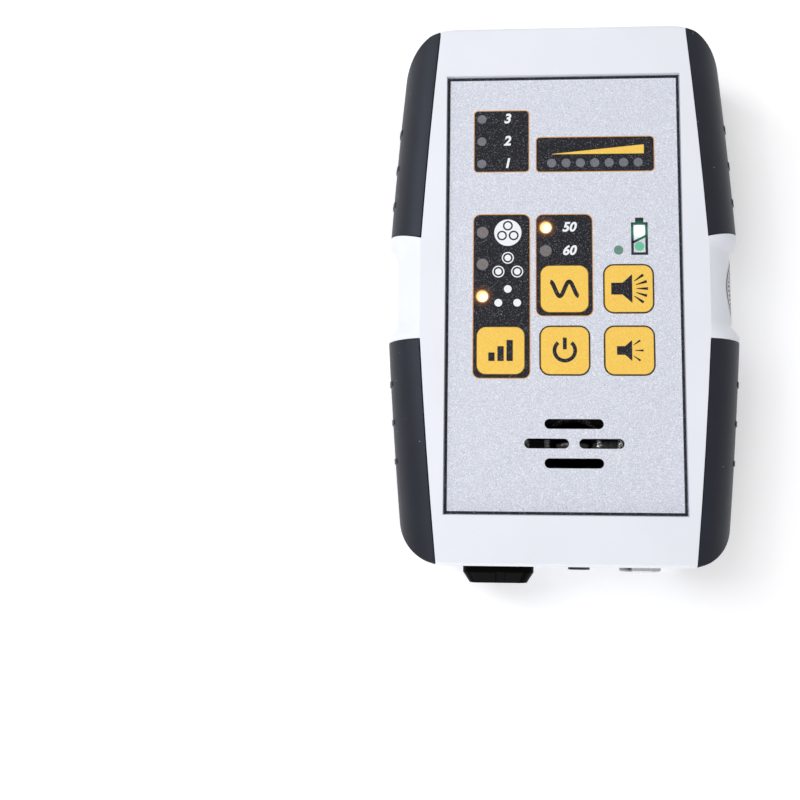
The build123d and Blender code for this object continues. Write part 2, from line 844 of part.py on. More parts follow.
with BuildPart() as speaker_gasket:
    with BuildSketch(Plane.XY.offset(rim_high)):
        with Locations((speaker_x, speaker_y)):
            Circle(speaker_radius)
            Circle(rim_inner_radius, mode=Mode.SUBTRACT)
    extrude(amount=gasket_thickness)
save(speaker_gasket, "speaker_gasket")

with BuildPart() as speaker_frame:
    with BuildSketch(speaker_plane):
        with BuildLine():
            Polyline(
                (0, basket_low),
                (plate_radius, basket_low),
                (speaker_radius, rim_low),
                (speaker_radius, rim_high),
                (rim_inner_radius, rim_high),
                (rim_inner_radius, rim_low),
                (plate_radius - basket_skin / 2, basket_low + basket_skin),
                (0, basket_low + basket_skin),
                close=True,
            )
        make_face()
    revolve(axis=speaker_axis)
    tag_end_y = speaker_y + plate_radius + tag_reach
    with BuildSketch(Plane.XY.offset(basket_low)):
        with Locations((speaker_x, tag_end_y - tag_reach / 2 - fuse)):
            Rectangle(tag_width, tag_reach + 2 * fuse)
    extrude(amount=basket_skin)
save(speaker_frame, "speaker_frame")

with BuildPart() as speaker_cone:
    cone_radius = rim_inner_radius - window_clearance
    cone_high = rim_high - cone_skin / 2
    neck_high = cone_high - cone_depth
    with BuildSketch(speaker_plane):
        with BuildLine():
            TangentArc((0, neck_high + cone_depth / 2), (cone_neck_radius, neck_high), tangent=(1, 0))
            Line((cone_neck_radius, neck_high), (cone_radius, cone_high))
            Line((cone_radius, cone_high), (cone_radius, cone_high - cone_skin))
            Line((cone_radius, cone_high - cone_skin), (cone_neck_radius, neck_high - cone_skin))
            TangentArc(
                (0, neck_high + cone_depth / 2 - cone_skin),
                (cone_neck_radius, neck_high - cone_skin),
                tangent=(1, 0),
            )
            Line((0, neck_high + cone_depth / 2 - cone_skin), (0, neck_high + cone_depth / 2))
        make_face()
    revolve(axis=speaker_axis)
save(speaker_cone, "speaker_cone")

with BuildPart() as speaker_magnet:
    with BuildSketch(Plane.XY.offset(basket_low - magnet_height)):
        with Locations((speaker_x, speaker_y)):
            Circle(magnet_radius)
    extrude(amount=magnet_height)
save(speaker_magnet, "speaker_magnet")

# Two thin leads from the speaker's tag, over the board's edge and down to it
with BuildPart() as speaker_leads:
    for lead_x in (speaker_x - speaker_lead_pitch / 2, speaker_x + speaker_lead_pitch / 2):
        lead_z = basket_low + basket_skin / 2
        turn_y = board_lower_y + board_edge_gap
        with BuildLine() as lead_path:
            FilletPolyline(
                (lead_x, tag_end_y, lead_z),
                (lead_x, turn_y, lead_z),
                (lead_x, turn_y, board_high),
                radius=min(speaker_lead_bend, lead_z - board_high - speaker_lead_radius / 2),
            )
        with BuildSketch(Plane.XZ.offset(-tag_end_y)):
            with Locations((lead_x, lead_z)):
                Circle(speaker_lead_radius)
        sweep(path=lead_path.line)
save(speaker_leads, "speaker_leads")

# Battery cells lying head to tail, with their contact plates
with BuildPart() as battery_cells:
    for hand in (1, -1):
        near = bay_near_y + contact_thickness + contact_dimple
        body_near = near if hand > 0 else near + cell_nub
        with BuildSketch(Plane.XZ.offset(-body_near)):
            with Locations((hand * cell_x, cell_axis)):
                Circle(cell_diameter / 2)
        extrude(amount=-(cell_length - cell_nub))
        with BuildSketch(Plane.XZ.offset(-near)):
            with Locations((hand * cell_x, cell_axis)):
                Circle(cell_nub_radius)
        extrude(amount=-cell_length)
save(battery_cells, "battery_cells")

with BuildPart() as battery_contacts:
    for hand in (1, -1):
        with BuildSketch(Plane.XZ.offset(-bay_near_y)):
            with Locations((hand * cell_x, cell_axis)):
                Rectangle(contact_width, contact_width)
            tab_middle = (cell_axis + board_low) / 2
            with Locations((hand * cell_x, tab_middle)):
                Rectangle(contact_tab, board_low - cell_axis)
        extrude(amount=-contact_thickness)
        with BuildSketch(Plane.XZ.offset(-bay_near_y)):
            with Locations((hand * cell_x, cell_axis)):
                Circle(contact_dimple_radius)
        extrude(amount=-contact_thickness - contact_dimple)
    with BuildSketch(Plane.XZ.offset(-bay_far_y)):
        with Locations((0, cell_axis)):
            Rectangle(2 * cell_x + contact_width, contact_width)
    extrude(amount=contact_thickness)
    with BuildSketch(Plane.XZ.offset(-bay_far_y)):
        with Locations((-cell_x, cell_axis), (cell_x, cell_axis)):
            Circle(contact_dimple_radius)
    extrude(amount=contact_thickness + contact_dimple)
save(battery_contacts, "battery_contacts")

# Battery door: a plate with a lip along both sides that runs in the shell's channel
with BuildPart() as battery_door:
    door_middle_y = (door_inner_y + door_outer_y) / 2
    door_length = door_outer_y - door_inner_y
    with BuildSketch(Plane.XY.offset(door_recess)):
        with Locations((0, door_middle_y)):
            Rectangle(2 * door_half_width, door_length)
    extrude(amount=door_thickness)
    with BuildSketch(Plane.XY.offset(door_lip_low)):
        with Locations((0, door_middle_y)):
            Rectangle(2 * door_lip_half_width, door_length)
    extrude(amount=door_high - door_lip_low)
    ribs_length = (thumb_rib_count - 1) * thumb_rib_pitch
    with BuildSketch(Plane.XY.offset(door_recess - fuse)):
        with Locations((0, door_outer_y - thumb_rib_inset - ribs_length / 2)):
            with GridLocations(1, thumb_rib_pitch, 1, thumb_rib_count):
                SlotOverall(thumb_rib_length, thumb_rib_width)
    extrude(amount=thumb_rib_depth + fuse, mode=Mode.SUBTRACT)
save(battery_door, "battery_door")

# Case screws with cross recesses, put in from the rear
with BuildPart() as case_screws:
    with BuildSketch(Plane.XY.offset(case_screw_seat - case_screw_head)):
        with Locations(*case_screw_points):
            Circle(case_screw_head_radius)
    extrude(amount=case_screw_head)
    with BuildSketch(Plane.XY.offset(case_screw_seat - fuse)):
        with Locations(*case_screw_points):
            Circle(case_screw_radius)
    extrude(amount=case_screw_length + fuse)
    with BuildSketch(Plane.XY.offset(case_screw_seat - case_screw_head)):
        with Locations(*case_screw_points):
            Rectangle(2 * case_screw_radius, screw_recess_width)
            Rectangle(screw_recess_width, 2 * case_screw_radius)
    extrude(amount=screw_recess_depth, mode=Mode.SUBTRACT)
save(case_screws, "case_screws")

# End panels: the upper one is blank, the lower one carries the three sockets
panel_width = 2 * (end_window_half_width + panel_lap)
panel_height = 2 * (end_window_half_height + panel_lap)
with BuildPart() as end_panel_upper:
    with BuildSketch(Plane.XZ.offset(-panel_inner_y)):
        with Locations((0, parting)):
            Rectangle(panel_width, panel_height)
    extrude(amount=-panel_thickness)
save(end_panel_upper, "end_panel_upper")

with BuildPart() as end_panel_lower:
    with BuildSketch(Plane.XZ.offset(panel_inner_y)):
        with Locations((0, parting)):
            Rectangle(panel_width, panel_height)
        with Locations((socket_x, parting)):
            Circle(barrel_radius + panel_hole_clearance, mode=Mode.SUBTRACT)
        with Locations((jack_x, parting)):
            Circle(jack_thread_radius + panel_hole_clearance, mode=Mode.SUBTRACT)
        with Locations((charge_x, parting)):
            Circle(charge_bush_radius + panel_hole_clearance, mode=Mode.SUBTRACT)
    extrude(amount=panel_thickness)
save(end_panel_lower, "end_panel_lower")

# Sensor socket: square bezel with its threaded barrel, nut behind the panel, insert and contact pins
mouth_y = -half_length - socket_stand_out
band_end_y = -half_length - bezel_band
barrel_end_y = -panel_outer_y + barrel_length
insert_face_y = mouth_y + socket_depth

with BuildPart() as socket_bezel:
    with BuildSketch(Plane.XZ.offset(panel_outer_y)):
        with Locations((socket_x, parting)):
            RectangleRounded(bezel_width, bezel_width, bezel_corner)
    extrude(amount=-band_end_y - panel_outer_y)
    taper_sizes = ((band_end_y, bezel_width, bezel_corner), (mouth_y, bezel_mouth_width, bezel_mouth_corner))
    for y, width, corner in taper_sizes:
        with BuildSketch(Plane.XZ.offset(-y)):
            with Locations((socket_x, parting)):
                RectangleRounded(width, width, corner)
    loft()
    rim = socket_bezel.faces().sort_by(Axis.Y)[0].outer_wire().edges()
    fillet(rim, bezel_edge)
    key_slope = (bezel_width - bezel_mouth_width) / 2 / (band_end_y - mouth_y)
    key_floor = parting + bezel_width / 2 - bezel_key_depth
    with BuildSketch(Plane.YZ.offset(socket_x + bezel_key_x)):
        with BuildLine():
            Polyline(
                (band_end_y, key_floor),
                (mouth_y - overrun, key_floor - key_slope * (band_end_y - mouth_y + overrun)),
                (mouth_y - overrun, key_floor + overrun),
                (band_end_y, key_floor + overrun),
                close=True,
            )
        make_face()
    extrude(amount=bezel_key_width / 2, both=True, mode=Mode.SUBTRACT)
    with BuildSketch(Plane.XZ.offset(-barrel_end_y)):
        with Locations((socket_x, parting)):
            Circle(barrel_radius)
    extrude(amount=barrel_length + fuse)
    with BuildSketch(Plane.XZ.offset(-barrel_end_y - overrun)):
        with Locations((socket_x, parting)):
            Circle(socket_bore_radius)
    extrude(amount=barrel_end_y - mouth_y + 2 * overrun, mode=Mode.SUBTRACT)
save(socket_bezel, "socket_bezel")

with BuildPart() as socket_nut:
    with BuildSketch(Plane.XZ.offset(panel_inner_y - socket_nut_thickness)):
        with Locations((socket_x, parting)):
            Circle(socket_nut_radius)
            Circle(barrel_radius + socket_fit, mode=Mode.SUBTRACT)
    extrude(amount=socket_nut_thickness)
save(socket_nut, "socket_nut")

with BuildPart() as socket_insert:
    with BuildSketch(Plane.XZ.offset(-barrel_end_y)):
        with Locations((socket_x, parting)):
            Circle(socket_bore_radius - socket_fit)
            with PolarLocations(pin_circle, pin_count, start_angle=90):
                Circle(pin_radius + pin_fit, mode=Mode.SUBTRACT)
    extrude(amount=barrel_end_y - insert_face_y)
save(socket_insert, "socket_insert")

with BuildPart() as socket_contacts:
    with BuildSketch(Plane.XZ.offset(-barrel_end_y - pin_tail)):
        with Locations((socket_x, parting)):
            with PolarLocations(pin_circle, pin_count, start_angle=90):
                Circle(pin_radius)
    extrude(amount=barrel_end_y + pin_tail - insert_face_y + pin_rise)
save(socket_contacts, "socket_contacts")

# Headphone jack: body with its threaded bush through the panel, and the six-sided nut outside
jack_mouth_y = -half_length - jack_stand_out
with BuildPart() as jack_body:
    with BuildSketch(Plane.XZ.offset(panel_inner_y)):
        with Locations((jack_x, parting)):
            Rectangle(jack_body_width, jack_body_height)
    extrude(amount=-jack_body_length)
    with BuildSketch(Plane.XZ.offset(panel_inner_y - fuse)):
        with Locations((jack_x, parting)):
            Circle(jack_thread_radius)
    extrude(amount=-jack_mouth_y - panel_inner_y + fuse)
    with BuildSketch(Plane.XZ.offset(-jack_mouth_y - jack_bore_length)):
        with Locations((jack_x, parting)):
            Circle(jack_bore_radius)
    extrude(amount=jack_bore_length + overrun, mode=Mode.SUBTRACT)
save(jack_body, "jack_body")

with BuildPart() as jack_nut:
    with BuildSketch(Plane.XZ.offset(panel_outer_y)):
        with Locations((jack_x, parting)):
            RegularPolygon(jack_nut_radius, 6)
            Circle(jack_thread_radius + socket_fit, mode=Mode.SUBTRACT)
    extrude(amount=-jack_mouth_y + jack_nut_rise - panel_outer_y)
    chamfer(jack_nut.faces().sort_by(Axis.Y)[0].outer_wire().edges(), jack_nut_chamfer)
save(jack_nut, "jack_nut")

# Charging socket: body with its bush through the panel, and the pin in its bore
charge_mouth_y = -half_length - charge_stand_out
with BuildPart() as charge_socket:
    with BuildSketch(Plane.XZ.offset(panel_inner_y)):
        with Locations((charge_x, parting)):
            Rectangle(charge_body_size, charge_body_size)
    extrude(amount=-charge_body_length)
    with BuildSketch(Plane.XZ.offset(panel_inner_y - fuse)):
        with Locations((charge_x, parting)):
            Circle(charge_bush_radius)
    extrude(amount=-charge_mouth_y - panel_inner_y + fuse)
    with BuildSketch(Plane.XZ.offset(-charge_mouth_y - charge_bore_length)):
        with Locations((charge_x, parting)):
            Circle(charge_bore_radius)
    extrude(amount=charge_bore_length + overrun, mode=Mode.SUBTRACT)
save(charge_socket, "charge_socket")

with BuildPart() as charge_pin:
    with BuildSketch(Plane.XZ.offset(-charge_mouth_y - charge_bore_length)):
        with Locations((charge_x, parting)):
            Circle(charge_pin_radius)
    extrude(amount=charge_bore_length - charge_pin_inset)
save(charge_pin, "charge_pin")

# Sleeved leads from the three sockets to the underside of the board
landing_y = board_lower_y + lead_landing
lead_starts = {
    "socket_lead": (socket_x, barrel_end_y + pin_tail),
    "jack_lead": (jack_x, -panel_inner_y + jack_body_length),
    "charge_lead": (charge_x, -panel_inner_y + charge_body_length),
}
for name, (lead_x, start_y) in lead_starts.items():
    with BuildPart() as lead:
        with BuildLine() as lead_path:
            FilletPolyline(
                (lead_x, start_y, parting),
                (lead_x, landing_y, parting),
                (lead_x, landing_y, board_low),
                radius=min(lead_bend, board_low - parting - lead_radius / 2),
            )
        with BuildSketch(Plane.XZ.offset(-start_y)):
            with Locations((lead_x, parting)):
                Circle(lead_radius)
        sweep(path=lead_path.line)
    save(lead, name)
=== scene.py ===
import bpy
import numpy as np
from mathutils import Matrix, Vector
from mathutils.geometry import tessellate_polygon


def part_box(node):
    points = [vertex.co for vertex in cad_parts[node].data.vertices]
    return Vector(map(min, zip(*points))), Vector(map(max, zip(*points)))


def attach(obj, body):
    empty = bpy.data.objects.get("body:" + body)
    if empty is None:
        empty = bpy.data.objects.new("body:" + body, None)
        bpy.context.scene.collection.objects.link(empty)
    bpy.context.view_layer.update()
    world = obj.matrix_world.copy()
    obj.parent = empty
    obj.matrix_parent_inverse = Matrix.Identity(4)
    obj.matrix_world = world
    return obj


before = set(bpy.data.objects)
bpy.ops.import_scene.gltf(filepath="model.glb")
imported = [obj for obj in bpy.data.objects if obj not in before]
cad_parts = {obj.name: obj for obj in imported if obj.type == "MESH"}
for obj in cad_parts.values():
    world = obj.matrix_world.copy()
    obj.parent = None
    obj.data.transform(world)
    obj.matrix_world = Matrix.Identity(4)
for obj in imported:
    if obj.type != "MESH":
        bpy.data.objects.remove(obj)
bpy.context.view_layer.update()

# Rear shell: the lower half of the case, moulded in white ABS with a fine eroded grain. It holds the
# battery bay, and the posts that the four long case screws come up through.
MM = 0.001
noise_low, noise_high = 0.3, 0.7
cloud_size = 24 * MM
cloud_shade = 0.982
cloud_stops = (0.3, 0.62)
gloss_swing = 0.07


def tone(red, green, blue):
    """A colour as it is seen, from 0 to 255, as the linear values that a shader takes."""
    seen = np.array([red, green, blue]) / 255
    linear = np.where(seen <= 0.04045, seen / 12.92, ((seen + 0.055) / 1.055) ** 2.4)
    return (*linear, 1.0)


def opened(finish):
    """The nodes of a finish, its shader, and the coordinates that its patterns read."""
    tree = finish.node_tree
    place = tree.nodes.new("ShaderNodeTexCoord").outputs["Object"]
    return tree, tree.nodes["Principled BSDF"], place


def new_finish(name):
    """An empty finish: the material, its nodes, its shader and the coordinates that patterns read."""
    finish = bpy.data.materials.new(name)
    finish.use_nodes = True
    return finish, *opened(finish)


def add_node(tree, kind, sockets, **settings):
    """A shader node with these settings, each named socket given a value or a link."""
    made = tree.nodes.new("ShaderNode" + kind)
    for key, value in settings.items():
        setattr(made, key, value)
    for key, value in sockets.items():
        if isinstance(value, bpy.types.NodeSocket):
            tree.links.new(value, made.inputs[key])
        else:
            made.inputs[key].default_value = value
    return made


def noise(tree, place, size, detail=3.0):
    """Smooth noise whose blots are about this size, from 0 to 1."""
    return add_node(tree, "TexNoise", {"Vector": place, "Scale": 1 / size, "Detail": detail}).outputs["Fac"]


def ramp(tree, factor, *stops):
    """A colour that runs through these stops, each a place from 0 to 1 and a colour."""
    made = add_node(tree, "ValToRGB", {"Fac": factor})
    elements = made.color_ramp.elements
    while len(elements) < len(stops):
        elements.new(1.0)
    for element, (position, colour) in zip(elements, stops):
        element.position = position
        element.color = colour
    return made.outputs["Color"]


def spread(tree, value, low, high, start=0.0, end=1.0):
    """A value carried from the range start to end over to the range low to high."""
    sockets = {"Value": value, "From Min": start, "From Max": end, "To Min": low, "To Max": high}
    return add_node(tree, "MapRange", sockets).outputs["Result"]


def round_and_grain(tree, shader, height, depth, edge):
    """Edges rounded by this radius, with a height pattern of this depth over the surface."""
    rounded = add_node(tree, "Bevel", {"Radius": edge}, samples=6).outputs["Normal"]
    sockets = {"Height": height, "Distance": depth, "Strength": 1.0, "Normal": rounded}
    bump = add_node(tree, "Bump", sockets)
    tree.links.new(bump.outputs["Normal"], shader.inputs["Normal"])


def moulded_plastic(name, seen, roughness, grain, depth, edge, shine=0.5):
    """Moulded plastic: faint clouds in its colour, an eroded grain in its gloss and surface."""
    finish, tree, shader, place = new_finish(name)
    clouds = noise(tree, place, cloud_size, 4.0)
    shades = tone(*[cloud_shade * part for part in seen]), tone(*seen)
    tree.links.new(ramp(tree, clouds, *zip(cloud_stops, shades)), shader.inputs["Base Color"])
    eroded = noise(tree, place, grain, 4.0)
    gloss = spread(tree, eroded, roughness - gloss_swing, roughness + gloss_swing, noise_low, noise_high)
    tree.links.new(gloss, shader.inputs["Roughness"])
    round_and_grain(tree, shader, eroded, depth, edge)
    shader.inputs["Specular IOR Level"].default_value = shine
    return finish


def case_plastic(name):
    """The white ABS of the case."""
    return moulded_plastic(
        name, seen=(239, 242, 250), roughness=0.42, grain=0.16 * MM, depth=0.012 * MM, edge=0.25 * MM
    )


def dress(finish, *names):
    """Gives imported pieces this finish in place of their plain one."""
    for name in names:
        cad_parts[name].material_slots[0].material = finish


case_white = case_plastic("case_white")
dress(case_white, "rear_shell")

# Battery contacts: nickel-plated spring strip, pressed to shape. They are pushed into slots in the
# walls of the bay.
streak_stretch = 0.04
streak_shade = 0.86
streak_depth = 0.004 * MM
metal_edge = 0.12 * MM


def drawn_metal(name, seen, roughness, streak, along):
    """Bare metal: streaks along one axis in its gloss and colour, as drawing or turning leaves."""
    finish, tree, shader, place = new_finish(name)
    stretch = [1.0, 1.0, 1.0]
    stretch[along] = streak_stretch
    turned = add_node(tree, "Mapping", {"Vector": place, "Scale": stretch}).outputs["Vector"]
    lines = noise(tree, turned, streak, 5.0)
    pale, dark = tone(*seen), tone(*[streak_shade * part for part in seen])
    colour = ramp(tree, lines, (noise_low, dark), (noise_high, pale))
    tree.links.new(colour, shader.inputs["Base Color"])
    gloss = spread(tree, lines, roughness - 0.08, roughness + 0.1, noise_low, noise_high)
    tree.links.new(gloss, shader.inputs["Roughness"])
    round_and_grain(tree, shader, lines, streak_depth, metal_edge)
    shader.inputs["Metallic"].default_value = 1.0
    return finish


spring_strip = drawn_metal("spring_strip", seen=(196, 194, 186), roughness=0.3, streak=0.12 * MM, along=0)
dress(spring_strip, "battery_contacts")

# Battery cells: two AA cells lying head to tail, each a steel can in a plain printed sleeve with a
# band of another colour at its nub end.
sleeve_tone, band_tone = tone(48, 50, 56), tone(186, 124, 60)
sleeve_end, band_start = 0.68, 0.69
scuff_size = 0.6 * MM


def reckon(tree, operation, *values, **settings):
    """The result of one sum on these values or links."""
    return add_node(tree, "Math", dict(enumerate(values)), operation=operation, **settings).outputs[0]


def middle_and_half(node):
    """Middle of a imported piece's box, and half its size along each axis."""
    low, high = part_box(node)
    return (low + high) / 2, (high - low) / 2


cells_middle, cells_half = middle_and_half("battery_cells")
finish, tree, shader, place = new_finish("cell_sleeve")
centred = add_node(tree, "Mapping", {"Vector": place, "Location": -cells_middle}).outputs["Vector"]
parts = add_node(tree, "SeparateXYZ", {"Vector": centred}).outputs
along = reckon(tree, "MULTIPLY", parts["Y"], reckon(tree, "SIGN", parts["X"]))
printed = ramp(
    tree, spread(tree, along, 0, 1, -cells_half.y, cells_half.y),
    (0.0, sleeve_tone), (sleeve_end, sleeve_tone), (band_start, band_tone), (1.0, band_tone),
)
tree.links.new(printed, shader.inputs["Base Color"])
scuffs = noise(tree, place, scuff_size, 6.0)
tree.links.new(spread(tree, scuffs, 0.22, 0.42), shader.inputs["Roughness"])
shader.inputs["Metallic"].default_value = 0.35
round_and_grain(tree, shader, scuffs, depth=0.006 * MM, edge=0.3 * MM)
dress(finish, "battery_cells")

# Battery door: a white plate with thumb ribs, moulded as the shell is. It slides in a channel of the
# rear shell.
dress(case_white, "battery_door")

# Main board: glass laminate under a green mask, through which its copper tracks show. It is hung on
# posts of the front shell.
mask_tone, track_tone = tone(24, 84, 52), tone(52, 122, 78)
tracks_per_metre = 420.0
track_width = 0.03
weave_size = 0.4 * MM
finish, tree, shader, place = new_finish("board_mask")
tracks = add_node(tree, "TexBrick", {"Vector": place, "Scale": tracks_per_metre, "Mortar Size": track_width})
lanes = ramp(tree, tracks.outputs["Fac"], (0.0, mask_tone), (1.0, track_tone))
tree.links.new(lanes, shader.inputs["Base Color"])
weave = noise(tree, place, weave_size)
tree.links.new(spread(tree, weave, 0.25, 0.4), shader.inputs["Roughness"])
round_and_grain(tree, shader, tracks.outputs["Fac"], depth=0.02 * MM, edge=0.1 * MM)
dress(finish, "main_board")

# Screws: zinc-plated steel, with cross recesses. Four short ones hold the board to its posts, and
# four long ones hold the case together from behind.
screw_steel = drawn_metal("screw_steel", seen=(168, 170, 174), roughness=0.34, streak=0.1 * MM, along=2)
dress(screw_steel, "board_screws", "case_screws")

# Chips: black moulded packages on tinned leads, soldered to the front of the board. One runs the keys
# and lamps, and one drives the speaker.
chip_black = moulded_plastic(
    "chip_black", seen=(38, 38, 41), roughness=0.55, grain=0.08 * MM, depth=0.008 * MM, edge=0.1 * MM
)
dress(chip_black, "controller_chip", "amplifier_chip")

# Capacitors: two aluminium cans in shrunk plastic sleeves. They stand on the board on their own
# leads.
capacitor_sleeve = moulded_plastic(
    "capacitor_sleeve", seen=(40, 52, 92), roughness=0.3, grain=0.3 * MM, depth=0.006 * MM, edge=0.2 * MM
)
dress(capacitor_sleeve, "board_capacitors")

# Push switches and their plungers: moulded in black nylon. One is soldered to the board under each
# key.
switch_black = moulded_plastic(
    "switch_black", seen=(34, 34, 36), roughness=0.45, grain=0.12 * MM, depth=0.008 * MM, edge=0.12 * MM
)
key_names = ("frequency", "volume_up", "gain_mode", "power", "volume_down")
dress(switch_black, "key_switches", *[f"plunger_{name}" for name in key_names])

# Lamps: light-emitting diodes cast in clear domes. They stand on the board, each under its window in
# the overlay.
led_clear = moulded_plastic(
    "led_clear", seen=(226, 228, 224), roughness=0.12, grain=0.2 * MM, depth=0.002 * MM, edge=0.1 * MM
)
lamp_groups = ("gain", "level", "mode", "frequency", "battery")
dress(led_clear, *[f"{group}_leds" for group in lamp_groups])

# Speaker: a cone of black metallised film in a pressed steel frame, with a foam gasket against the
# face and a magnet behind. Its dust cap is brighter, and so are flecks in two rings of glue.
film_mirror = 0.0032
cap_mirror = 0.024
fleck_mirror = 0.128
fleck_size = 0.3 * MM
ripple_size = 0.5 * MM
cap_end, film_start = 0.33, 0.35


def from_axis(tree, place, middle, across):
    """Place from a middle, flattened on to the directions across an axis, and its distance from it."""
    centred = add_node(tree, "Mapping", {"Vector": place, "Location": -middle}).outputs["Vector"]
    flat = add_node(tree, "VectorMath", {0: centred, 1: across}, operation="MULTIPLY").outputs["Vector"]
    return flat, add_node(tree, "VectorMath", {0: flat}, operation="LENGTH").outputs["Value"]


def even(level):
    """A grey of this level, for a ramp that carries a value."""
    return (level, level, level, 1.0)


cone_middle, cone_half = middle_and_half("speaker_cone")
finish, tree, shader, place = new_finish("cone_film")
_, apart = from_axis(tree, place, cone_middle, (1, 1, 0))
apart = spread(tree, apart, 0, 1, 0, cone_half.x)
cap = ramp(tree, apart, (0.0, even(cap_mirror)), (cap_end, even(cap_mirror)), (film_start, even(film_mirror)))
glue = ramp(
    tree, apart,
    (0.48, even(0)), (0.5, even(1)), (0.58, even(1)), (0.6, even(0)), (0.9, even(0)), (0.92, even(1)),
)
flecks = spread(tree, noise(tree, place, fleck_size, 2.0), 0, fleck_mirror, 0.5, 0.6)
mirror = reckon(tree, "ADD", cap, reckon(tree, "MULTIPLY", glue, flecks))
tree.links.new(mirror, shader.inputs["Base Color"])
shader.inputs["Metallic"].default_value = 1.0
ripples = noise(tree, place, ripple_size, 4.0)
tree.links.new(spread(tree, ripples, 0.03, 0.17, noise_low, noise_high), shader.inputs["Roughness"])
round_and_grain(tree, shader, ripples, depth=0.02 * MM, edge=0.1 * MM)
dress(finish, "speaker_cone")
gasket_foam = moulded_plastic(
    "gasket_foam", seen=(14, 14, 15), roughness=0.9, grain=0.25 * MM, depth=0.08 * MM, edge=0.1 * MM,
    shine=0.1,
)
dress(gasket_foam, "speaker_gasket")
speaker_steel = drawn_metal("speaker_steel", seen=(22, 22, 24), roughness=0.42, streak=0.2 * MM, along=2)
dress(speaker_steel, "speaker_frame")
magnet_plate = drawn_metal("magnet_plate", seen=(150, 150, 152), roughness=0.36, streak=0.2 * MM, along=2)
dress(magnet_plate, "speaker_magnet")

# Leads: stranded wire in soft plastic sleeves. They run from the speaker and the sockets to the
# board, and are soldered at both ends.
lead_sleeve = moulded_plastic(
    "lead_sleeve", seen=(40, 40, 43), roughness=0.5, grain=0.3 * MM, depth=0.01 * MM, edge=0.1 * MM
)
dress(lead_sleeve, "speaker_leads", "socket_lead", "jack_lead", "charge_lead")

# End panels: white plates of the same ABS, held in slots between the two shells. The lower one
# carries the sockets.
dress(case_white, "end_panel_upper", "end_panel_lower")

# Sensor socket: a square glossy bezel with its threaded barrel, a nut behind the panel, and an
# insert with five plated pins.
socket_black = moulded_plastic(
    "socket_black", seen=(5, 5, 6), roughness=0.14, grain=0.3 * MM, depth=0.004 * MM, edge=0.35 * MM,
    shine=0.025,
)
dress(socket_black, "socket_bezel")
dress(switch_black, "socket_insert")
dress(screw_steel, "socket_nut")
contact_brass = drawn_metal("contact_brass", seen=(214, 178, 96), roughness=0.25, streak=0.1 * MM, along=1)
dress(contact_brass, "socket_contacts")

# Headphone jack and charging socket: black bodies behind the panel, a bright six-sided nut on the
# jack and a bright pin in the charging socket.
nut_chrome = drawn_metal("nut_chrome", seen=(178, 179, 183), roughness=0.14, streak=0.15 * MM, along=1)
dress(switch_black, "jack_body", "charge_socket")
dress(nut_chrome, "jack_nut", "charge_pin")

# Front shell: the upper half of the case in the same white ABS, with a sunk bed for the overlay. Inside
# its slots before the speaker, the walls are coloured near black as painted shade.
slot_shade_tone = tone(9, 9, 10)
shade_margin = 0.02 * MM
bed_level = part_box("membrane_overlay")[0].z
gasket_middle, gasket_half = middle_and_half("speaker_gasket")


def laid_over(tree, share, under, over):
    """One colour laid over another by this share."""
    return add_node(tree, "Mix", {"Factor": share, 6: under, 7: over}, data_type="RGBA").outputs[2]


front_white = case_plastic("front_white")
tree, shader, place = opened(front_white)
_, apart = from_axis(tree, place, gasket_middle, (1, 1, 0))
within = reckon(tree, "LESS_THAN", apart, gasket_half.x)
height = add_node(tree, "SeparateXYZ", {"Vector": place}).outputs["Z"]
below = reckon(tree, "LESS_THAN", height, bed_level - shade_margin)
# Painted shade: below the overlay bed and near the speaker, the shell is coloured near black.
painted_slot_shade = reckon(tree, "MULTIPLY", within, below)
bare = shader.inputs["Base Color"].links[0].from_socket
tree.links.new(laid_over(tree, painted_slot_shade, bare, slot_shade_tone), shader.inputs["Base Color"])
dress(front_white, "front_shell")

# Corner grips: black thermoplastic rubber moulded over the corners, matt with a fine grain, with
# specks of dust on it.
rubber_dark, rubber_pale = tone(24, 25, 31), tone(29, 30, 37)
rubber_cloud = 9 * MM
pore_size = 0.14 * MM
dust_tone = tone(150, 152, 160)
dust_pitch = 3.2 * MM
speck_core, speck_edge = 0.028, 0.05
finish, tree, shader, place = new_finish("grip_rubber")
clouds = noise(tree, place, rubber_cloud, 4.0)
body_tone = ramp(tree, clouds, (noise_low, rubber_dark), (noise_high, rubber_pale))
specks = add_node(tree, "TexVoronoi", {"Vector": place, "Scale": 1 / dust_pitch}).outputs["Distance"]
dusty = ramp(tree, specks, (0.0, even(1)), (speck_core, even(1)), (speck_edge, even(0)))
tree.links.new(laid_over(tree, dusty, body_tone, dust_tone), shader.inputs["Base Color"])
pores = noise(tree, place, pore_size, 4.0)
tree.links.new(spread(tree, pores, 0.4, 0.5, noise_low, noise_high), shader.inputs["Roughness"])
shader.inputs["Specular IOR Level"].default_value = 0.28
shader.inputs["Specular Tint"].default_value = (0.74, 0.84, 1.0, 1.0)
round_and_grain(tree, shader, pores, depth=0.016 * MM, edge=0.3 * MM)
dress(finish, *[f"grip_{end}_{hand}" for end in ("upper", "lower") for hand in ("left", "right")])

